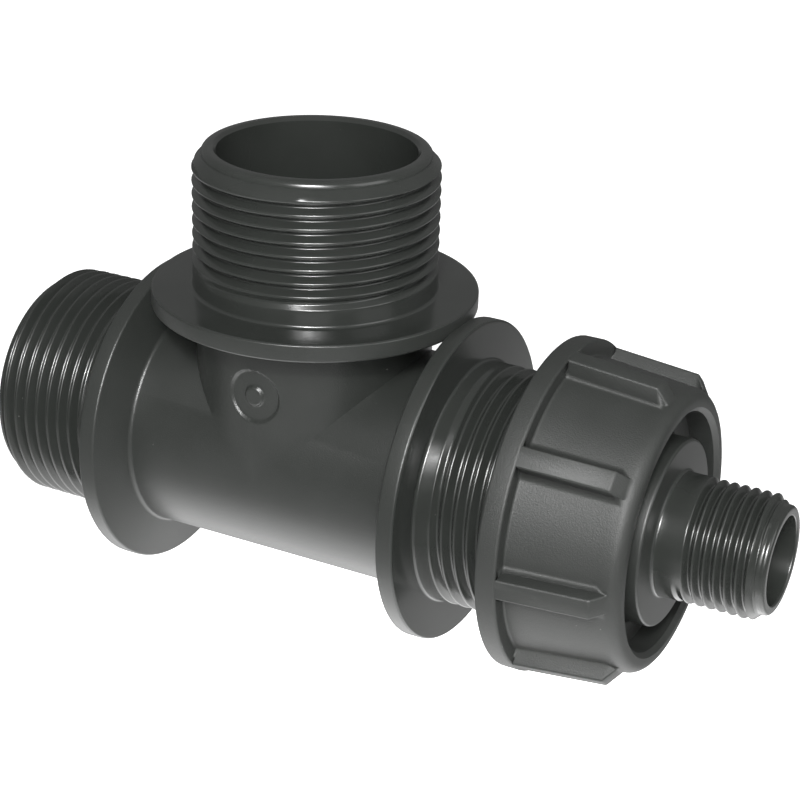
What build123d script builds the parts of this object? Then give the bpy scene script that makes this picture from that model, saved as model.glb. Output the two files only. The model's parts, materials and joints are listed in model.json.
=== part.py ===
from build123d import *
import os

# Jet tee for drawing liquid into a water line: a moulded tee with three male pipe
# necks, and a jet nozzle that a ribbed union nut holds in the inlet neck.
# All lengths are in millimetres.
# Row frame: +X runs from the outlet to the inlet, +Z up the suction branch.
# The origin is on the run's axis, in the outer face of the outlet flange.

# Pipe threads, by the radius over their crests; 1 1/4 on the tee, 1/2 on the tail
main_thread_r = 20.955
main_pilot_r = 19.45
tail_thread_r = 10.478
tail_pilot_r = 9.15

# Tee: tubes, flanges and necks
tube_r = 20.35
bore_r = 16.9
run_reach = 30.6        # crossing of the axes to a run flange's outer face
branch_reach = 29.85    # the same up the branch
flange_r = 28.0
flange_t = 3.0
flange_edge = 0.5       # rounding of a flange's rim
tube_fillet = 2.4       # between a tube and its flange
neck_length = 24.3      # flange face to the open end
pilot_length = 2.3      # plain end before the thread
lip_round = 1.2         # open end, outside
lip_ease = 0.6          # open end, inside

# Round moulding mark on the front of the branch: a sunk ring around a plain button
mark_r = 4.6
mark_button_r = 1.7
mark_height = 16.2      # above the run's axis
mark_depth = 0.5

# Mixing throat and diffuser inside the outlet arm
throat_r = 11.5
throat_length = 5.0
throat_start = 24.5     # from the crossing, past the branch's bore
cone_length = 7.0       # entry cone ahead of the throat
outlet_mouth_r = 16.4
bore_overrun = 1.0      # a bore's cutting shape runs this far past the open end

# Flat seal between the inlet neck and the nozzle's shoulder
seal_t = 2.0
seal_inner_r = 16.6

# Jet nozzle: shoulder, hub, threaded tail and jet tube
shoulder_r = 19.0
shoulder_t = 3.2
hub_r = 15.8
hub_edge = 0.5
wall = 2.4              # of the hub and the spigot
tail_length = 18.4      # hub face to the open end
tail_pilot_length = 2.1
tail_bore_r = 7.4
tail_lip_round = 0.7
tail_root_round = 0.6
jet_root_r = 9.6
jet_tip_r = 5.0
jet_hole_r = 3.0
jet_hole_length = 5.0
jet_tip_offset = 2.0    # tip, past the crossing
jet_cone_start = 48.0   # from the crossing, where the inside begins to close in
spigot_r = 16.2
spigot_length = 3.6     # back from the shoulder

# Union nut
nut_thread_clear = 0.35
nut_lip_clear = 0.4     # round the hub
nut_lip_t = 3.0
nut_recess_r = 20.3
nut_recess_depth = 4.9
nut_mouth_bevel = 0.8
nut_length = 22.5
nut_round = 2.2         # barrel to front face
nut_edge = 0.5
collar_rise = 2.75      # over the back of the barrel
collar_t = 3.7
barrel_back_r = 25.75
barrel_front_r = 23.8
rib_count = 8
rib_first_angle = 40.0  # above the horizontal, seen on the front
rib_width = 3.6
rib_back_r = 28.4
rib_front_r = 26.9
rib_front_gap = 3.6     # rib's flat top to the front face
rib_foot_gap = 1.6      # rib's foot to the front face

# Places along X that several pieces share
crossing_x = run_reach
thread_end = neck_length - pilot_length
run_end_x = crossing_x + run_reach + neck_length
shoulder_back_x = run_end_x + seal_t
shoulder_front_x = shoulder_back_x + shoulder_t
nut_lip_front_x = shoulder_front_x + nut_lip_t
nut_front_x = nut_lip_front_x + nut_recess_depth
nut_back_x = nut_front_x - nut_length
hub_face_x = nut_front_x
tail_end_x = hub_face_x + tail_length
collar_r = barrel_back_r + collar_rise


def turned(section, roundings=None):
    """Solid turned about X from a closed section of (x, radius) corners.

    roundings gives a corner's rounding by its place in the section."""
    radii = [0.0] * len(section)
    for corner, rounding in (roundings or {}).items():
        radii[corner] = rounding
    corners = [(x, 0, r) for x, r in section]
    outline = FilletPolyline(*corners, radius=radii, close=True)
    return revolve(make_face(outline), Axis.X)


def arm(reach):
    """Outside of one arm: half tube, flange and neck, from the crossing along +X."""
    flange_back = reach - flange_t
    end = reach + neck_length
    lead = main_thread_r - main_pilot_r
    section = [
        (0, 0),
        (0, tube_r),
        (flange_back, tube_r),
        (flange_back, flange_r),
        (reach, flange_r),
        (reach, main_thread_r),
        (reach + thread_end - lead, main_thread_r),
        (reach + thread_end, main_pilot_r),
        (end, main_pilot_r),
        (end, 0),
    ]
    return turned(section, {2: tube_fillet, 3: flange_edge, 4: flange_edge, 8: lip_round})


def straight_bore(reach):
    """Space inside an arm, from the crossing past its eased open end."""
    end = reach + neck_length
    section = [
        (0, 0),
        (0, bore_r),
        (end - lip_ease, bore_r),
        (end, bore_r + lip_ease),
        (end + bore_overrun, bore_r + lip_ease),
        (end + bore_overrun, 0),
    ]
    return turned(section)


def venturi_bore():
    """Space inside the outlet arm: entry cone, throat and diffuser."""
    end = run_reach + neck_length
    section = [
        (0, 0),
        (0, bore_r),
        (throat_start - cone_length, bore_r),
        (throat_start, throat_r),
        (throat_start + throat_length, throat_r),
        (end - lip_ease, outlet_mouth_r),
        (end, outlet_mouth_r + lip_ease),
        (end + bore_overrun, outlet_mouth_r + lip_ease),
        (end + bore_overrun, 0),
    ]
    return turned(section, {2: cone_length / 4, 3: cone_length / 4, 4: cone_length / 4})


def moulding_mark():
    """Shallow ring to sink in the branch's front, as deep all over as the tube curves."""
    ring = Cylinder(mark_r, tube_r) - Cylinder(mark_button_r, tube_r)
    front_ring = Pos(0, -tube_r, mark_height) * Rot(90, 0, 0) * ring
    return front_ring - Pos(0, 0, mark_height) * Cylinder(tube_r - mark_depth, 4 * mark_r)


def tee_body():
    """The one-piece tee, with its three necks and the shallow round mark."""
    outlet_turn = Rot(0, 0, 180)
    branch_turn = Rot(0, -90, 0)
    outside = arm(run_reach) + outlet_turn * arm(run_reach) + branch_turn * arm(branch_reach)
    inside = (
        straight_bore(run_reach)
        + outlet_turn * venturi_bore()
        + branch_turn * straight_bore(branch_reach)
    )
    tee = outside - inside - moulding_mark()
    return Pos(crossing_x, 0, 0) * tee


def seal_ring():
    """Flat sealing ring between the inlet neck's end and the nozzle's shoulder."""
    section = [
        (run_end_x, seal_inner_r),
        (shoulder_back_x, seal_inner_r),
        (shoulder_back_x, shoulder_r),
        (run_end_x, shoulder_r),
    ]
    return turned(section)


def jet_nozzle():
    """Threaded tail, hub, shoulder, spigot and jet tube, all one moulding."""
    tip_x = crossing_x - jet_tip_offset
    spigot_back_x = shoulder_back_x - spigot_length
    tail_lead = tail_thread_r - tail_pilot_r
    tail_thread_end_x = tail_end_x - tail_pilot_length
    pocket_floor_x = hub_face_x - wall
    jet_slope = (jet_root_r - jet_tip_r) / (shoulder_back_x - tip_x)
    pocket_root_r = jet_root_r + jet_slope * (pocket_floor_x - shoulder_back_x)
    section = [
        (tip_x, jet_hole_r),
        (tip_x, jet_tip_r),
        (pocket_floor_x, pocket_root_r),
        (pocket_floor_x, hub_r - wall),
        (spigot_back_x, spigot_r - wall),
        (spigot_back_x, spigot_r),
        (shoulder_back_x, spigot_r),
        (shoulder_back_x, shoulder_r),
        (shoulder_front_x, shoulder_r),
        (shoulder_front_x, hub_r),
        (hub_face_x, hub_r),
        (hub_face_x, tail_thread_r),
        (tail_thread_end_x - tail_lead, tail_thread_r),
        (tail_thread_end_x, tail_pilot_r),
        (tail_end_x, tail_pilot_r),
        (tail_end_x, tail_bore_r),
        (crossing_x + jet_cone_start, tail_bore_r),
        (tip_x + jet_hole_length, jet_hole_r),
    ]
    roundings = {
        1: hub_edge,
        2: tail_root_round,
        3: tail_root_round,
        10: hub_edge,
        11: tail_root_round,
        14: tail_lip_round,
    }
    return turned(section, roundings)


def nut_blank():
    """The nut without its ribs: collar, tapered barrel, lip and mouth."""
    collar_front_x = nut_back_x + collar_t
    thread_bore_r = main_thread_r + nut_thread_clear
    lip_hole_r = hub_r + nut_lip_clear
    section = [
        (nut_back_x, thread_bore_r + nut_mouth_bevel),
        (nut_back_x, collar_r),
        (collar_front_x, collar_r),
        (collar_front_x, barrel_back_r),
        (nut_front_x, barrel_front_r),
        (nut_front_x, nut_recess_r + nut_mouth_bevel),
        (nut_front_x - nut_mouth_bevel, nut_recess_r),
        (nut_lip_front_x, nut_recess_r),
        (nut_lip_front_x, lip_hole_r),
        (shoulder_front_x, lip_hole_r),
        (shoulder_front_x, thread_bore_r),
        (nut_back_x + nut_mouth_bevel, thread_bore_r),
    ]
    return turned(section, {1: nut_edge, 2: nut_edge, 3: nut_edge, 4: nut_round})


def nut_rib():
    """One grip rib, on the nut's top, tapered like the barrel and cut down at its front."""
    collar_front_x = nut_back_x + collar_t
    rib_top_end_x = nut_front_x - rib_front_gap
    rib_foot_x = nut_front_x - rib_foot_gap
    root_r = (main_thread_r + nut_thread_clear + barrel_front_r) / 2
    side = Polyline(
        (collar_front_x - nut_edge * 2, 0, root_r),
        (collar_front_x - nut_edge * 2, 0, rib_back_r),
        (collar_front_x, 0, rib_back_r),
        (rib_top_end_x, 0, rib_front_r),
        (rib_foot_x, 0, barrel_front_r),
        (rib_foot_x, 0, root_r),
        close=True,
    )
    return extrude(make_face(side), rib_width / 2, both=True)


def union_nut():
    """The ribbed nut, seated with its lip against the nozzle's shoulder."""
    nut = nut_blank()
    for step in range(rib_count):
        # The front of the part is -Y, so an angle above the front is that far short of +Z
        from_top = 90 - rib_first_angle - step * 360 / rib_count
        nut += Rot(from_top, 0, 0) * nut_rib()
    return nut


os.makedirs("parts", exist_ok=True)
export_step(tee_body(), "parts/tee_body.step")
export_step(seal_ring(), "parts/seal_ring.step")
export_step(jet_nozzle(), "parts/jet_nozzle.step")
export_step(union_nut(), "parts/union_nut.step")
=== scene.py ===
import json
from math import asin, atan2, ceil, cos, hypot, pi, radians, sin, tan

import bmesh
import bpy
from mathutils import Matrix, Vector


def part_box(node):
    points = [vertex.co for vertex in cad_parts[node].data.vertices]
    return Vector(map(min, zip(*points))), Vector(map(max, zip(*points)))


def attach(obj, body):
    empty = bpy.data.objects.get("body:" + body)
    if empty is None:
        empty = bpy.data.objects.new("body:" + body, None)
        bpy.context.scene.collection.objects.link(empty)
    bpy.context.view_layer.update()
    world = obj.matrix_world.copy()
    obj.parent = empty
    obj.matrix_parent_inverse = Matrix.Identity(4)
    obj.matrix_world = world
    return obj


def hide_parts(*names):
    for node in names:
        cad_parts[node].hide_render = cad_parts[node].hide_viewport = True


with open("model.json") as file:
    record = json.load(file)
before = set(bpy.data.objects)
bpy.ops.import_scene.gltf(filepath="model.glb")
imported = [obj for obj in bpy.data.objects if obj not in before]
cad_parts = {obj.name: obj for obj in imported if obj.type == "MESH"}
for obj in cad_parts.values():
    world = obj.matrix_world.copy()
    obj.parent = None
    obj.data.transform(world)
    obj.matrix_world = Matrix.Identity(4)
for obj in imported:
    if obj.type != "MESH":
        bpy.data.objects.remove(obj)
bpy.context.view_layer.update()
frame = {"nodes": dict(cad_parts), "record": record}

# A jet tee of black moulded plastic: three threaded necks on one body, and a jet
# nozzle that a ribbed union nut holds in the inlet neck. Shapes are worked out in
# millimetres in the row frame, and a finished mesh is brought to metres.
MM = 0.001
record = frame["record"]
mounts = {mount["name"]: mount for mount in record["mounts"]}


def corners(node):
    """Lowest and highest corner of a node, in millimetres."""
    low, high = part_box(node)
    return low / MM, high / MM


tee_low, tee_high = corners("tee_body")
nut_low, nut_high = corners("union_nut")
nozzle_low, nozzle_high = corners("jet_nozzle")
seal_high = corners("seal_ring")[1]

# The tee's driving places
neck_length = -tee_low.x
crossing_x = mounts["suction_thread"]["pos_m"][0] / MM
branch_reach = mounts["suction_thread"]["pos_m"][2] / MM
main_crest_r = mounts["outlet_thread"]["dims"]["r_mm"]
tail_crest_r = mounts["inlet_thread"]["dims"]["r_mm"]
flange_r = tee_high.y
run_reach = crossing_x

# Parallel pipe threads: pitch, depth and rounding of the 55 degree form
WHITWORTH_DEPTH = 0.640327
WHITWORTH_ROUNDING = 0.137329
WHITWORTH_FLANK = radians(27.5)
main_pitch = 2.309
tail_pitch = 1.814

# Tee
tube_r = 20.35
bore_r = 16.9
flange_t = 3.0
flange_edge = 0.45
flange_taper = 2.4        # by which a flange is thicker at its tube
tube_fillet = 0.8
tube_end = -flange_t - flange_taper - tube_fillet
neck_fillet = 0.6
groove_start = 3.65       # from a flange's face to where a thread's groove begins
inlet_groove_start = 3.4
branch_groove_end = 21.4  # where the branch's groove begins to run out again
pilot_r = 19.45
lip_round = 1.2
lip_ease = 0.6
throat_r = 11.5
throat_start = 24.5
throat_length = 5.0
cone_length = 7.0
outlet_mouth_r = 16.4

# Moulding mark on the branch
mark_r = 4.6
mark_button_r = 1.7
mark_height = 16.2
mark_depth = 0.5
mark_edge = 0.45

# Jet nozzle
hub_face_x = nut_high.x
tail_end_x = nozzle_high.x
jet_tip_x = nozzle_low.x
shoulder_r = seal_high.y
shoulder_back_x = seal_high.x
shoulder_t = 3.2
shoulder_front_x = shoulder_back_x + shoulder_t
hub_r = 15.8
hub_edge = 0.5
shell_wall = 2.4
tail_lead_end = 17.1      # from the hub's face
tail_pilot_r = 9.15
tail_bore_r = 7.4
tail_lip_round = 0.7
tail_root_round = 0.6
tail_groove_start = 4.2
jet_tip_r = 5.0
jet_root_r = 9.6
jet_hole_r = 3.0
jet_hole_length = 5.0
jet_cone_start = 48.0
spigot_r = 16.2
spigot_length = 3.6

# Union nut
nut_back_x = nut_low.x
nut_front_x = nut_high.x
collar_r = nut_high.y
collar_t = 3.7
barrel_back_r = 25.75
barrel_front_r = 23.8
nut_round = 2.2
nut_edge = 0.5
nut_recess_r = 20.3
nut_recess_depth = 4.9
nut_mouth_bevel = 0.8
nut_lip_clear = 0.4
nut_thread_clear = 0.15
nut_undercut = 1.6
rib_count = 8
rib_first_turn = 50.0     # from straight up towards the front
rib_width = 3.6
rib_front_r = 26.9
rib_front_gap = 3.6
rib_foot_gap = 1.6
rib_edge = 0.35

# Where a crest of each thread passes on a neck as it is built, along +X: distance
# from its flange or hub, and turn in degrees about X, from +Z towards -Y
outlet_phase = (19.12, 304.2)
branch_phase = (21.345, 116.0)
inlet_phase = (5.0, 57.2)
tail_phase = (6.65, 57.1)

STEPS = 96                # spin steps in a full turn
CORNER_STEPS = 6          # steps round a rounded corner of an outline
ARC_STEPS = 3             # steps in half of a thread's crest or root
RIB_STEPS = 2             # spin steps that a rib is wide
RIB_EDGE_STEPS = 3        # steps round the edge of a rib
RIB_SLACK = 0.1           # faces under a rib may lie this much lower than its foot
MARK_STEP = 0.2           # size of the faces that the round mark is sunk in
SKIN_GAP = 0.02           # between a thread's end and the skin that is bridged to it
DOUBLE = 0.004            # vertices nearer than this are one
SLIVER = 0.0004           # edges shorter than this are dropped
ON_PLANE = 0.00001        # vertices nearer than this to a cutting plane lie in it
SHARP_ANGLE = 38          # faces that meet at more degrees than this show an edge
RIB_EDGE_ANGLE = 40       # a rib's long edges are sharper than this
RUN_OUT_TURNS = 0.35      # over which a thread's first groove reaches its depth
X_AXIS = Vector((1, 0, 0))


# Outlines and threads

def rounded(points, roundings):
    """The points with some corners rounded, given by their place in the list."""
    outline = []
    for spot, point in enumerate(points):
        here = Vector(point)
        radius = roundings.get(spot, 0)
        if not radius:
            outline.append(here)
            continue
        before = (Vector(points[spot - 1]) - here).normalized()
        after = (Vector(points[(spot + 1) % len(points)]) - here).normalized()
        half = before.angle(after) / 2
        middle = here + (before + after).normalized() * (radius / sin(half))
        start = here + before * (radius / tan(half)) - middle
        sweep = start.angle_signed(here + after * (radius / tan(half)) - middle)
        for step in range(CORNER_STEPS + 1):
            outline.append(middle + Matrix.Rotation(-sweep * step / CORNER_STEPS, 2) @ start)
    return outline


def chained(bm, points):
    """Vertices and edges along points of (x, radius), standing straight up from X."""
    line = [bm.verts.new((x, 0, r)) for x, r in points]
    return line + [bm.edges.new(pair) for pair in zip(line, line[1:])]


def turned(bm, points):
    """Adds an outline of (x, radius) points, turned about X."""
    shell = bmesh.new()
    bmesh.ops.spin(shell, geom=chained(shell, points), cent=(0, 0, 0), axis=X_AXIS,
                   dvec=(0, 0, 0), angle=2 * pi, steps=STEPS, use_merge=True,
                   use_normal_flip=False, use_duplicate=False)
    join(bm, shell)


def thread_form(pitch, crest_r):
    """One pitch of the rounded 55 degree form, from the middle of a root to the next."""
    depth = WHITWORTH_DEPTH * pitch
    rounding = WHITWORTH_ROUNDING * pitch
    leans = [(pi / 2 - WHITWORTH_FLANK) * k / ARC_STEPS for k in range(-ARC_STEPS, ARC_STEPS + 1)]
    arc = [(rounding * sin(lean), rounding * (1 - cos(lean))) for lean in leans]
    root = crest_r - depth
    rise = [(x, root + up) for x, up in arc[ARC_STEPS:]]
    crest = [(pitch / 2 + x, crest_r - down) for x, down in arc]
    fall = [(pitch + x, root + up) for x, up in arc[:ARC_STEPS + 1]]
    return rise + crest + fall


def screw(pitch, crest_r, crest_at, first, last, depth_share):
    """A right-hand thread's surface along X between two places. A groove's depth is its
    full one times depth_share of the groove's place."""
    bm = bmesh.new()
    crest_x, crest_turn = crest_at
    start = crest_x - pitch * crest_turn / 360 - pitch / 2
    start -= pitch * ceil((start - first) / pitch + 1)
    form = [(start + x, r) for x, r in thread_form(pitch, crest_r)]
    coil = bmesh.new()
    bmesh.ops.spin(coil, geom=chained(coil, form), cent=(0, 0, 0), axis=X_AXIS,
                   dvec=(pitch / STEPS, 0, 0), angle=2 * pi, steps=STEPS,
                   use_merge=False, use_normal_flip=False, use_duplicate=False)
    for turn in range(ceil((last - start) / pitch)):
        join(bm, coil.copy(), Matrix.Translation((pitch * turn, 0, 0)))
    coil.free()
    bmesh.ops.remove_doubles(bm, verts=bm.verts[:], dist=DOUBLE)
    for vert in bm.verts:
        radius = hypot(vert.co.y, vert.co.z)
        groove_x = start + pitch * atan2(-vert.co.y, vert.co.z) / (2 * pi)
        groove_x += pitch * round((vert.co.x - groove_x) / pitch)
        set_radius(vert, crest_r - (crest_r - radius) * depth_share(groove_x))
    for at, keep_above in ((first, True), (last, False)):
        bmesh.ops.bisect_plane(bm, geom=bm.verts[:] + bm.edges[:] + bm.faces[:],
                               dist=ON_PLANE, plane_co=(at, 0, 0), plane_no=X_AXIS,
                               clear_inner=keep_above, clear_outer=not keep_above)
    return bm


def set_radius(vert, radius):
    """Moves a vertex straight in or out from X."""
    scale = radius / hypot(vert.co.y, vert.co.z)
    vert.co.y *= scale
    vert.co.z *= scale


def chamfer(bm, crest_r, end_r, lead_end):
    """Cuts a thread's crests down to a cone that reaches end_r at lead_end. New edges run
    where crests and cone meet, and what stood above lies on the cone."""

    def excess(vert):
        """How far a vertex stands out of the cone."""
        height = max(0, min(crest_r - end_r, lead_end - vert.co.x))
        return hypot(vert.co.y, vert.co.z) - end_r - height

    over = {vert: excess(vert) for vert in bm.verts}
    crossed = [edge for edge in bm.edges if over[edge.verts[0]] * over[edge.verts[1]] < 0
               and min(abs(over[vert]) for vert in edge.verts) > DOUBLE]
    met = [vert for vert in over if abs(over[vert]) <= DOUBLE]
    for edge in crossed:
        first, second = edge.verts
        share = over[first] / (over[first] - over[second])
        met.append(bmesh.utils.edge_split(edge, first, share)[1])
    faces = {face for edge in crossed for vert in edge.verts for face in vert.link_faces}
    near = {vert for face in faces for vert in face.verts}
    joined = [vert for vert in met if vert in near or vert not in over]
    bmesh.ops.connect_verts(bm, verts=joined, check_degenerate=True)
    for vert, height in over.items():
        if height > 0:
            set_radius(vert, hypot(vert.co.y, vert.co.z) - height)


def rim(bm, at):
    """The open edges that lie in the plane across X at one place."""
    return [edge for edge in bm.edges
            if edge.is_boundary and all(abs(vert.co.x - at) < DOUBLE for vert in edge.verts)]


def join(bm, other, turn=None):
    """Moves another mesh's shape into this one."""
    mesh = bpy.data.meshes.new("joined")
    if turn:
        bmesh.ops.transform(other, matrix=turn, verts=other.verts[:])
    other.to_mesh(mesh)
    other.free()
    bm.from_mesh(mesh)
    bpy.data.meshes.remove(mesh)


def seam(bm, thread_rim, plain_rim):
    """Bridges a thread's open end to the plain skin beside it."""
    bmesh.ops.bridge_loops(bm, edges=rim(bm, thread_rim) + rim(bm, plain_rim))


def outer_thread(pitch, crest_r, end_r, crest_at, first_groove, last, lead_end,
                 last_groove=None):
    """A thread whose first groove deepens along its turn and whose open end is chamfered.
    Past last_groove, if there is one, the groove runs out again."""

    def depth_share(groove_x):
        """A groove's share of its full depth."""
        deep = (groove_x - first_groove) / (RUN_OUT_TURNS * pitch)
        if last_groove:
            deep = min(deep, 1 - (groove_x - last_groove) / (RUN_OUT_TURNS * pitch))
        return min(1, max(0, deep))

    bm = screw(pitch, crest_r, crest_at, first_groove - pitch / 2, last, depth_share)
    chamfer(bm, crest_r, end_r, lead_end)
    return bm


def closed(bm):
    """Merges doubles, drops slivers and turns the faces outwards."""
    bmesh.ops.remove_doubles(bm, verts=bm.verts[:], dist=DOUBLE)
    bmesh.ops.dissolve_degenerate(bm, edges=bm.edges[:], dist=SLIVER)
    bmesh.ops.recalc_face_normals(bm, faces=bm.faces[:])
    return bm


def finished(bm, name):
    """An object from a mesh in millimetres, shaded smooth but for its sharp edges."""
    bmesh.ops.scale(bm, vec=(MM, MM, MM), verts=bm.verts[:])
    for face in bm.faces:
        face.smooth = True
    for edge in bm.edges:
        flat = len(edge.link_faces) != 2 or edge.calc_face_angle() < radians(SHARP_ANGLE)
        edge.smooth = flat
    mesh = bpy.data.meshes.new(name)
    bm.to_mesh(mesh)
    bm.free()
    piece = bpy.data.objects.new(name, mesh)
    bpy.context.scene.collection.objects.link(piece)
    return piece


# Tee body

def neck(reach, crest_at, first_groove, last_groove, bore):
    """One arm along +X with its flange's face at zero: tube, flange, neck and bore."""
    thread_end = neck_length - lip_round - SKIN_GAP * 2
    bm = outer_thread(main_pitch, main_crest_r, pilot_r, crest_at, first_groove, thread_end,
                      neck_length - lip_round, last_groove)
    collar_end = first_groove - main_pitch / 2
    turned(bm, rounded(
        [(-reach, tube_r), (tube_end, tube_r), (-flange_t - flange_taper, tube_r),
         (-flange_t, flange_r), (0, flange_r), (0, main_crest_r),
         (collar_end - SKIN_GAP, main_crest_r)],
        {2: tube_fillet, 3: flange_edge, 4: flange_edge, 5: neck_fillet}))
    lip = rounded(
        [(thread_end + SKIN_GAP, pilot_r), (neck_length, pilot_r),
         (neck_length, bore[0][1] + lip_ease), (neck_length - lip_ease, bore[0][1])],
        {1: lip_round, 2: lip_ease / 2})
    turned(bm, lip + [Vector(point) for point in bore[1:]])
    seam(bm, collar_end, collar_end - SKIN_GAP)
    seam(bm, thread_end, thread_end + SKIN_GAP)
    return bm


def mitred(bm, reach, sides):
    """Cuts an arm's inner end to the planes where it meets its neighbours' equal tubes."""
    for side in sides:
        verts = [vert for vert in bm.verts if vert.co.x < tube_end + DOUBLE]
        inner = set(verts)
        edges = [edge for edge in bm.edges if inner.issuperset(edge.verts)]
        faces = [face for face in bm.faces if inner.issuperset(face.verts)]
        bmesh.ops.bisect_plane(bm, geom=verts + edges + faces, dist=ON_PLANE,
                               plane_co=(-reach, 0, 0), plane_no=(-1, 0, side),
                               clear_outer=True)
    return bm


def sink_mark(bm):
    """Sinks the round mark in the branch's front: a ring around a plain button."""
    centre_x = mark_height - branch_reach
    reach = mark_r + 2 * MARK_STEP
    wall = [face for face in bm.faces if all(
        vert.co.x < tube_end + DOUBLE and vert.co.y < -tube_r / 2
        and hypot(vert.co.y, vert.co.z) > tube_r - DOUBLE for vert in face.verts)]
    wall = split(bm, wall, (centre_x - reach, 0, 0), X_AXIS)
    wall = split(bm, wall, (centre_x + reach, 0, 0), X_AXIS)
    patch = [face for face in wall if all(
        abs(vert.co.x - centre_x) < reach + DOUBLE
        and abs(vert.co.z) < reach + tube_r * pi / STEPS for vert in face.verts)]
    count = ceil(2 * reach / MARK_STEP)
    for step in range(1, count):
        share = 2 * step / count - 1
        turn = share * reach / tube_r
        patch = split(bm, patch, (centre_x + share * reach, 0, 0), X_AXIS)
        patch = split(bm, patch, (0, 0, 0), (0, sin(turn), cos(turn)))
    for vert in parts_of(patch, "verts"):
        away = hypot(vert.co.x - centre_x, vert.co.z)
        ring = soft_step(away, mark_button_r) - soft_step(away, mark_r)
        if away < reach:
            sunk = (tube_r - mark_depth * ring) / hypot(vert.co.y, vert.co.z)
            vert.co.y *= sunk
            vert.co.z *= sunk


def parts_of(faces, kind):
    """The verts or edges of some faces, each once and always in the same order."""
    return list(dict.fromkeys(part for face in faces for part in getattr(face, kind)))


def split(bm, faces, at, normal):
    """Cuts some faces along a plane and gives the faces that they become."""
    geom = parts_of(faces, "verts") + parts_of(faces, "edges") + faces
    parts = bmesh.ops.bisect_plane(bm, geom=geom, dist=ON_PLANE, plane_co=at,
                                   plane_no=normal)["geom"]
    return [part for part in parts if isinstance(part, bmesh.types.BMFace)]


def soft_step(value, edge):
    """Goes from 0 to 1 around an edge, over the width of the mark's rounding."""
    share = min(1, max(0, (value - edge) / mark_edge + 0.5))
    return share * share * (3 - 2 * share)


def tee_body():
    """Three arms, mitred where equal tubes meet, with the round mark sunk in front."""
    straight = [(0, bore_r), (tube_end, bore_r)]
    venturi = rounded(
        [(neck_length, outlet_mouth_r), (throat_start + throat_length - run_reach, throat_r),
         (throat_start - run_reach, throat_r),
         (throat_start - cone_length - run_reach, bore_r), (-run_reach, bore_r)],
        {1: cone_length / 4, 2: cone_length / 4, 3: cone_length / 4})
    bm = bmesh.new()
    arms = (
        (run_reach, inlet_phase, (inlet_groove_start, None),
         straight + [(-run_reach, bore_r)], Matrix(), (1,)),
        (run_reach, outlet_phase, (groove_start, None),
         venturi, Matrix.Rotation(pi, 4, "Z"), (1,)),
        (branch_reach, branch_phase, (groove_start, branch_groove_end),
         straight + [(-branch_reach, bore_r)], Matrix.Rotation(-pi / 2, 4, "Y"), (1, -1)),
    )
    for reach, crest_at, grooves, bore, turn, sides in arms:
        to_tee = Matrix.Translation((crossing_x, 0, 0)) @ turn @ Matrix.Translation((reach, 0, 0))
        arm = mitred(neck(reach, crest_at, *grooves, bore), reach, sides)
        if crest_at is branch_phase:
            sink_mark(arm)
        join(bm, arm, to_tee)
    return finished(closed(bm), "tee_moulding")


# Jet nozzle

def jet_nozzle():
    """Threaded tail, hub, shoulder, spigot and jet tube, all one moulding."""
    tail_thread_end_x = tail_end_x - tail_lip_round - SKIN_GAP * 2
    first_groove_x = hub_face_x + tail_groove_start
    collar_end_x = first_groove_x - tail_pitch / 2
    spigot_back_x = shoulder_back_x - spigot_length
    pocket_floor_x = hub_face_x - shell_wall
    jet_slope = (jet_root_r - jet_tip_r) / (shoulder_back_x - jet_tip_x)
    pocket_root_r = jet_root_r + jet_slope * (pocket_floor_x - shoulder_back_x)
    crest_x, crest_turn = tail_phase
    bm = outer_thread(tail_pitch, tail_crest_r, tail_pilot_r, (hub_face_x + crest_x, crest_turn),
                      first_groove_x, tail_thread_end_x, hub_face_x + tail_lead_end)
    turned(bm, rounded(
        [(tail_thread_end_x + SKIN_GAP, tail_pilot_r), (tail_end_x, tail_pilot_r),
         (tail_end_x, tail_bore_r), (crossing_x + jet_cone_start, tail_bore_r),
         (jet_tip_x + jet_hole_length, jet_hole_r), (jet_tip_x, jet_hole_r),
         (jet_tip_x, jet_tip_r), (pocket_floor_x, pocket_root_r),
         (pocket_floor_x, hub_r - shell_wall), (spigot_back_x, spigot_r - shell_wall),
         (spigot_back_x, spigot_r), (shoulder_back_x, spigot_r), (shoulder_back_x, shoulder_r),
         (shoulder_front_x, shoulder_r), (shoulder_front_x, hub_r), (hub_face_x, hub_r),
         (hub_face_x, tail_crest_r), (collar_end_x - SKIN_GAP, tail_crest_r)],
        {1: tail_lip_round, 2: tail_lip_round / 2, 6: hub_edge, 7: tail_root_round,
         8: tail_root_round, 10: hub_edge / 2, 13: hub_edge / 2, 15: hub_edge,
         16: tail_root_round}))
    seam(bm, tail_thread_end_x, tail_thread_end_x + SKIN_GAP)
    seam(bm, collar_end_x, collar_end_x - SKIN_GAP)
    return finished(closed(bm), "nozzle_moulding")


# Union nut

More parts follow.
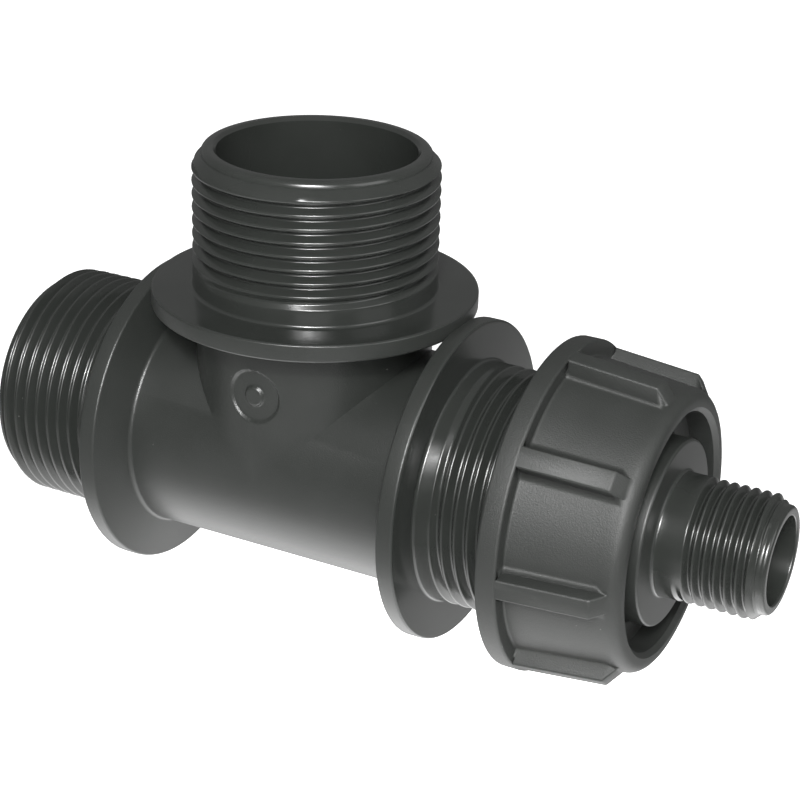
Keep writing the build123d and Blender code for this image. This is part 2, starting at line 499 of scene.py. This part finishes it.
def union_nut():
    """Collar, tapered barrel with eight ribs, lip, recess and internal thread."""
    collar_front_x = nut_back_x + collar_t
    lip_front_x = nut_front_x - nut_recess_depth
    lip_hole_r = hub_r + nut_lip_clear
    major_r = main_crest_r + nut_thread_clear
    first, last = nut_back_x + nut_mouth_bevel, shoulder_front_x - nut_undercut
    crest_x, crest_turn = inlet_phase

    def depth_share(groove_x):
        """A groove's share of its full depth, which it reaches a pitch and a half in."""
        return min(1, max(0, min(groove_x - first, last - groove_x) / main_pitch - 0.5))

    bm = bmesh.new()
    barrel_slope = (barrel_front_r - barrel_back_r) / (nut_front_x - collar_front_x)
    rib_end_x = nut_front_x - rib_front_gap
    rib_end_low_r = barrel_back_r + barrel_slope * (rib_end_x - collar_front_x)
    outline = rounded(
        [(first - SKIN_GAP, major_r), (nut_back_x, major_r + nut_mouth_bevel),
         (nut_back_x, collar_r), (collar_front_x, collar_r), (collar_front_x, barrel_back_r),
         (rib_end_x, rib_end_low_r), (nut_front_x, barrel_front_r),
         (nut_front_x, nut_recess_r + nut_mouth_bevel),
         (nut_front_x - nut_mouth_bevel, nut_recess_r), (lip_front_x, nut_recess_r),
         (lip_front_x, lip_hole_r), (shoulder_front_x, lip_hole_r),
         (shoulder_front_x, major_r), (last + SKIN_GAP, major_r)],
        {2: nut_edge, 3: nut_edge, 4: nut_edge, 6: nut_round, 10: nut_edge})
    turned(bm, outline)
    raise_ribs(bm, outline, collar_front_x, rib_end_x)
    first_rib = radians(rib_first_turn) - RIB_STEPS * pi / STEPS
    bmesh.ops.rotate(bm, cent=(0, 0, 0), verts=bm.verts[:],
                     matrix=Matrix.Rotation(first_rib, 3, "X"))
    join(bm, screw(main_pitch, major_r, (2 * run_reach + crest_x, crest_turn),
                   first, last, depth_share))
    seam(bm, first, first - SKIN_GAP)
    seam(bm, last, last + SKIN_GAP)
    return finished(closed(bm), "nut_moulding")


def raise_ribs(bm, outline, collar_front_x, rib_end_x):
    """Draws the ribs out of the barrel, RIB_STEPS wide, and rounds their edges."""
    back = min(outline, key=lambda p: hypot(p.x - (collar_front_x - nut_edge * (1 - sin(pi / 4))),
                                            p.y - (collar_r - nut_edge * (1 - cos(pi / 4)))))
    foot = min(outline, key=lambda p: hypot(p.x - (nut_front_x - rib_foot_gap),
                                            p.y - barrel_front_r))
    half_turn = RIB_STEPS * pi / STEPS

    def across(point):
        """The turn from the nearest rib's middle plane, which starts half a rib in."""
        turn = atan2(-point.y, point.z) - half_turn
        return (turn + pi / rib_count) % (2 * pi / rib_count) - pi / rib_count

    def in_rib(face):
        """Tells whether a face of the barrel's outside lies under a rib."""
        middle = face.calc_center_median()
        inside = all(back.x - DOUBLE < vert.co.x < foot.x + DOUBLE
                     and hypot(vert.co.y, vert.co.z) > foot.y - RIB_SLACK
                     for vert in face.verts)
        return inside and abs(across(middle)) < half_turn

    faces = [face for face in bm.faces if in_rib(face)]
    base = parts_of(faces, "verts")
    drawn = bmesh.ops.extrude_face_region(bm, geom=faces)["geom"]
    tops = [item for item in drawn if isinstance(item, bmesh.types.BMVert)]
    top_slope = (rib_front_r - back.y) / (rib_end_x - back.x)
    for vert in tops:
        x = vert.co.x
        if x < collar_front_x + nut_edge:
            vert.co.x, height = back.x, back.y
        elif x > foot.x - DOUBLE:
            height = foot.y
        elif x > rib_end_x + DOUBLE:
            share = (x - rib_end_x) / (foot.x - rib_end_x)
            height = rib_front_r + (foot.y - rib_front_r) * share
        else:
            height = back.y + top_slope * (x - back.x)
        lift = height / hypot(vert.co.y, vert.co.z)
        vert.co.y *= lift
        vert.co.z *= lift
    for vert in dict.fromkeys(tops + [vert for vert in base if vert.is_valid]):
        turn = across(vert.co)
        radius = hypot(vert.co.y, vert.co.z)
        wanted = asin(min(1, rib_width / 2 / radius)) * turn / half_turn
        spin_by = Matrix.Rotation(wanted - turn, 3, "X")
        vert.co = spin_by @ vert.co
    bmesh.ops.remove_doubles(bm, verts=tops, dist=DOUBLE)
    tops = {vert for vert in tops if vert.is_valid}
    doubles = bmesh.ops.find_doubles(bm, verts=bm.verts[:], keep_verts=list(tops), dist=DOUBLE)
    bmesh.ops.weld_verts(bm, targetmap=doubles["targetmap"])
    bmesh.ops.recalc_face_normals(bm, faces=bm.faces[:])
    edges = [edge for edge in bm.edges if on_rib_edge(edge, tops)]
    bmesh.ops.bevel(bm, geom=edges, offset=rib_edge, offset_type="OFFSET",
                    segments=RIB_EDGE_STEPS, profile=0.5, affect="EDGES", material=-1,
                    clamp_overlap=True)


def on_rib_edge(edge, tops):
    """Tells whether an edge is one of the sharp ones round a rib's top and slope."""
    if not (edge.verts[0] in tops and edge.verts[1] in tops and len(edge.link_faces) == 2):
        return False
    return edge.calc_face_angle() > radians(RIB_EDGE_ANGLE)


# Finishes

class Flow:
    """A socket of a finish's nodes, for sums written as plain arithmetic."""

    def __init__(self, finish, socket):
        self.finish = finish
        self.socket = socket

    def combined(self, operation, first, second):
        """One Math node, or a Vector Math node where this socket holds a vector."""
        kind = "ShaderNodeMath" if self.socket.type == "VALUE" else "ShaderNodeVectorMath"
        return self.finish.node(kind, {0: first, 1: second}, operation=operation)

    def __add__(self, other):
        return self.combined("ADD", self, other)

    def __radd__(self, other):
        return self.combined("ADD", other, self)

    def __sub__(self, other):
        return self.combined("SUBTRACT", self, other)

    def __rsub__(self, other):
        return self.combined("SUBTRACT", other, self)

    def __mul__(self, other):
        return self.combined("MULTIPLY", self, other)

    def __rmul__(self, other):
        return self.combined("MULTIPLY", other, self)

    def above(self, other):
        """The greater of two values."""
        return self.combined("MAXIMUM", self, other)


class Finish:
    """A material of the fitting, or the studio round it, and the nodes that make it."""

    def __init__(self, material, coordinates="Object"):
        self.material = material
        self.material.use_nodes = True
        self.tree = self.material.node_tree
        self.tree.nodes.clear()
        self.place = self.node("ShaderNodeTexCoord", output=coordinates)
        parts = self.node("ShaderNodeSeparateXYZ", {0: self.place}, output=None)
        self.x, self.y, self.z = (Flow(self, socket) for socket in parts.outputs)

    def node(self, kind, sockets=None, output=0, stops=None, **settings):
        """Adds a node: its settings first, then the values or links of its sockets."""
        node = self.tree.nodes.new(kind)
        for name, value in settings.items():
            setattr(node, name, value)
        if stops:
            ramp = node.color_ramp
            for place, level in stops[2:]:
                ramp.elements.new(place)
            for element, (place, level) in zip(ramp.elements, sorted(stops)):
                element.position = place
                element.color = (level, level, level, 1)
        for name, value in (sockets or {}).items():
            if isinstance(value, Flow):
                self.tree.links.new(value.socket, node.inputs[name])
            else:
                node.inputs[name].default_value = value
        return node if output is None else Flow(self, node.outputs[output])

    def noise(self, size, detail=3.0, roughness=0.5):
        """Cloudy noise from 0 to 1 whose lumps have a size in millimetres."""
        return self.node("ShaderNodeTexNoise", {
            "Vector": self.place, "Scale": 1 / (size * MM), "Detail": detail,
            "Roughness": roughness}, output="Fac")

    def ramp(self, value, low, high, start=0.0, end=1.0):
        """A smooth step of a value between two levels."""
        return self.node("ShaderNodeMapRange", {
            "Value": value, "From Min": low, "From Max": high, "To Min": start,
            "To Max": end}, interpolation_type="SMOOTHSTEP")

    def blend(self, share, first, second):
        """A colour between two colours."""
        return self.node("ShaderNodeMix", {0: share, 6: first, 7: second}, output=2,
                         data_type="RGBA")

    def pick(self, share, first, second):
        """A value between two values."""
        return first + (second - first) * share

    def dots(self, spacing, size, share):
        """Sparse round dots, of a size in millimetres, in a share of the cells."""
        sockets = {"Vector": self.place, "Scale": 1 / (spacing * MM)}
        cells = self.node("ShaderNodeTexVoronoi", sockets, output=None)
        near = self.ramp(Flow(self, cells.outputs["Distance"]), size / spacing, 0.0)
        luck = self.node("ShaderNodeSeparateColor", {0: Flow(self, cells.outputs["Color"])})
        return near * self.ramp(luck, 1 - share, 1 - share + 0.001)

    def shade(self, colour, roughness, height, depth, specular=0.5, glow=None):
        """The surface: its colour, its roughness and a relief with a depth in millimetres."""
        normal = self.node("ShaderNodeBump", {
            "Height": height, "Strength": 1.0, "Distance": depth * MM})
        sockets = {"Base Color": colour, "Roughness": roughness, "Normal": normal,
                   "IOR": PLASTIC_IOR, "Specular IOR Level": specular}
        if glow:
            sockets.update({"Emission Color": glow, "Emission Strength": 1.0})
        surface = self.node("ShaderNodeBsdfPrincipled", sockets)
        self.node("ShaderNodeOutputMaterial", {"Surface": surface}, output=None)
        return self.material


PLASTIC_IOR = 1.5
BLACK = (0.0135, 0.0150, 0.0135, 1)
SOOT = (0.0200, 0.0215, 0.0200, 1)
DUST = (0.42, 0.42, 0.40, 1)
FROST = (0.58, 0.58, 0.58, 1)
PALE_FROST = (0.62, 0.62, 0.62, 1)
NECK_GLOSS = (-0.3, -0.1) # millimetres past a flange's face, where a neck's gloss begins
TAIL_GLOSS = (0.1, 0.3)   # the same past the hub's face
NECK_GRAIN = 0.12         # share of the tube's grain that a glossy neck keeps


def tee_finish():
    """Black glass-filled plastic: satin grained tubes and flanges, glossy necks."""
    finish = Finish(bpy.data.materials.new("tee_black_plastic"))
    run = finish.x - crossing_x * MM
    past_run = finish.node("ShaderNodeMath", {0: run}, operation="ABSOLUTE") - run_reach * MM
    past_branch = finish.z - branch_reach * MM
    past_face = past_run.above(past_branch)
    neck_share = finish.ramp(past_face, *(past * MM for past in NECK_GLOSS))
    grain = finish.noise(0.22)
    clouds = finish.noise(9.0)
    dust = finish.dots(2.6, 0.09, 0.12)
    colour = finish.blend(clouds, BLACK, SOOT)
    colour = finish.blend(dust, colour, DUST)
    rough_tube = 0.27 + 0.06 * clouds + 0.08 * grain
    rough_neck = 0.17 + 0.06 * clouds
    roughness = finish.pick(neck_share, rough_tube, rough_neck)
    height = grain * finish.ramp(neck_share, 0, 1, 1.0, NECK_GRAIN)
    return finish.shade(colour, roughness, height, 0.035)


def nozzle_finish():
    """The nozzle's plastic: satin hub, glossy threaded tail."""
    finish = Finish(bpy.data.materials.new("nozzle_black_plastic"))
    neck_share = finish.ramp(finish.x, *((hub_face_x + past) * MM for past in TAIL_GLOSS))
    grain = finish.noise(0.2)
    clouds = finish.noise(6.0)
    colour = finish.blend(clouds, BLACK, SOOT)
    roughness = finish.pick(neck_share, 0.36 + 0.1 * grain, 0.18 + 0.06 * clouds)
    height = grain * finish.ramp(neck_share, 0, 1, 1.0, NECK_GRAIN)
    return finish.shade(colour, roughness, height, 0.03)


def nut_finish():
    """The nut's plastic: matte and finely grained, with pale specks."""
    finish = Finish(bpy.data.materials.new("nut_matte_plastic"))
    grain = finish.noise(0.28, detail=4, roughness=0.65)
    clouds = finish.noise(8.0)
    dust = finish.dots(2.0, 0.1, 0.15)
    colour = finish.blend(clouds, BLACK, SOOT)
    colour = finish.blend(dust, colour, DUST)
    roughness = 0.42 + 0.14 * grain + 0.06 * clouds
    return finish.shade(colour, roughness, grain, 0.06)


def seal_finish():
    """Black rubber of the flat seal."""
    finish = Finish(bpy.data.materials.new("seal_black_rubber"))
    grain = finish.noise(0.5)
    colour = finish.blend(grain, BLACK, SOOT)
    return finish.shade(colour, 0.6 + 0.15 * grain, grain, 0.04)


def floor_finish():
    """Pale frosted floor with a painted glow all over, and a painted pool of light brightest
    under the fitting.
    """
    finish = Finish(bpy.data.materials.new("floor_frosted_glass"))
    clouds = finish.noise(120.0, detail=2)
    colour = finish.blend(clouds, FROST, PALE_FROST)
    away_x = (finish.x - PAINTED_POOL_PLACE[0]) * PAINTED_POOL_SQUEEZE
    away_y = finish.y - PAINTED_POOL_PLACE[1]
    away = finish.node("ShaderNodeMath", {0: away_x * away_x + away_y * away_y, 1: 0.5},
                       operation="POWER")
    # painted pool of light on the floor under the fitting
    near = finish.ramp(away, *PAINTED_POOL_REACH, start=1.0, end=0.0)
    peak = PAINTED_FLOOR_GLOW + PAINTED_POOL_GLOW
    # painted glow: even over the floor, brighter in the pool
    glow = finish.blend(near, (PAINTED_FLOOR_GLOW, PAINTED_FLOOR_GLOW, PAINTED_FLOOR_GLOW, 1), (peak, peak, peak, 1))
    return finish.shade(colour, 0.85 + 0.05 * clouds, clouds, 0.02, specular=0.2, glow=glow)


def dressed(piece, material):
    """Gives a piece its only material."""
    piece.data.materials.clear()
    piece.data.materials.append(material)
    return piece


# The set: floor, lights and camera

FLOOR_GAP = 0.6           # below the lowest rib, in millimetres
FLOOR_SIZE = 40.0         # metres
PAINTED_FLOOR_GLOW = 0.72         # painted glow over the whole floor, which lights the fitting from below
PAINTED_POOL_GLOW = 1.35          # painted pool of light: more glow just under the fitting
PAINTED_POOL_PLACE = (0.062, 0.008)
PAINTED_POOL_SQUEEZE = 0.75       # the painted pool of light is longer along X
PAINTED_POOL_REACH = (0.022, 0.090)  # from the painted pool's middle to where it fades and where it ends
# The studio's brightness by the height over the horizon, in degrees
STUDIO_LIGHT = ((-90, 3.2), (-60, 3.0), (-42, 0.8), (-26, 0.7), (-12, 0.05), (0, 0.2),
                (20, 0.22), (45, 0.3), (90, 0.3))

# Each soft light: the side of the fitting that it stands on, how far off and how
# wide in metres, and its watts
FITTING_MIDDLE = (0.0475, 0, 0.012)
KEY_SIDE = (0.30, -0.743, 0.602)
LIGHTS = {
    "key": (KEY_SIDE, 0.9, 0.06, 4.0),
    "key_box": (KEY_SIDE, 0.91, 0.35, 10.0),
    "fill": ((0.408, -0.801, 0.438), 0.9, 0.5, 3.5),
    "right": ((0.889, -0.077, 0.453), 1.3, 0.8, 5.0),
}

CAMERA_PLACE = (0.192904, -0.282843, 0.154382)
CAMERA_AZIMUTH = 27.20    # degrees, from square on the front towards the inlet
CAMERA_ELEVATION = 24.145
CAMERA_ROLL = 1.795
CAMERA_LENS = 91.525      # on a 36 mm wide frame


def floor():
    """A wide pale floor just under the fitting."""
    bm = bmesh.new()
    bmesh.ops.create_grid(bm, x_segments=1, y_segments=1, size=FLOOR_SIZE / 2)
    lowest = min(corners(node)[0].z for node in ("union_nut", "tee_body"))
    bmesh.ops.translate(bm, verts=bm.verts[:], vec=(0, 0, (lowest - FLOOR_GAP) * MM))
    mesh = bpy.data.meshes.new("floor")
    bm.to_mesh(mesh)
    bm.free()
    piece = bpy.data.objects.new("floor", mesh)
    bpy.context.scene.collection.objects.link(piece)
    return piece


def soft_light(name, side, distance, size, power):
    """A square light that faces the fitting."""
    light = bpy.data.lights.new(name, "AREA")
    light.size = size
    light.energy = power
    lamp = bpy.data.objects.new(name, light)
    lamp.location = Vector(FITTING_MIDDLE) + distance * Vector(side)
    lamp.rotation_euler = Vector(side).to_track_quat("Z", "Y").to_euler()
    bpy.context.scene.collection.objects.link(lamp)


def surroundings():
    """White light from all round, as bright as STUDIO_LIGHT says: the studio's from
    above, and from below the light that a glossy surface would see from the bright floor."""
    studio = Finish(bpy.data.worlds.new("studio"), "Generated")
    most = max(level for at, level in STUDIO_LIGHT)
    stops = [((sin(radians(at)) + 1) / 2, level / most) for at, level in STUDIO_LIGHT]
    light = studio.node("ShaderNodeValToRGB", {0: 0.5 * studio.z + 0.5}, stops=stops)
    shine = studio.node("ShaderNodeBackground", {"Color": light, "Strength": most})
    studio.node("ShaderNodeOutputWorld", {"Surface": shine}, output=None)
    bpy.context.scene.world = studio.material


def camera():
    """The photograph's view."""
    lens = bpy.data.cameras.new("camera")
    lens.sensor_width = 36
    lens.lens = CAMERA_LENS
    lens.clip_start = 0.01
    piece = bpy.data.objects.new("camera", lens)
    turn = (Matrix.Rotation(radians(CAMERA_AZIMUTH), 4, "Z")
            @ Matrix.Rotation(radians(90 - CAMERA_ELEVATION), 4, "X")
            @ Matrix.Rotation(radians(CAMERA_ROLL), 4, "Z"))
    piece.matrix_world = Matrix.Translation(CAMERA_PLACE) @ turn
    bpy.context.scene.collection.objects.link(piece)
    bpy.context.scene.camera = piece


# Putting it together

tee = dressed(tee_body(), tee_finish())
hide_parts("tee_body")
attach(tee, "tee")

nozzle = dressed(jet_nozzle(), nozzle_finish())
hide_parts("jet_nozzle")
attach(nozzle, "nozzle")

nut = dressed(union_nut(), nut_finish())
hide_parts("union_nut")
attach(nut, "nut")

dressed(frame["nodes"]["seal_ring"], seal_finish())

# the floor glows with painted light; glossy surfaces see the studio's light below instead of it
glowing_floor = dressed(floor(), floor_finish())
glowing_floor.visible_glossy = False
surroundings()
for name, light in LIGHTS.items():
    soft_light(name, *light)
camera()
bpy.context.scene.view_settings.view_transform = "Standard"
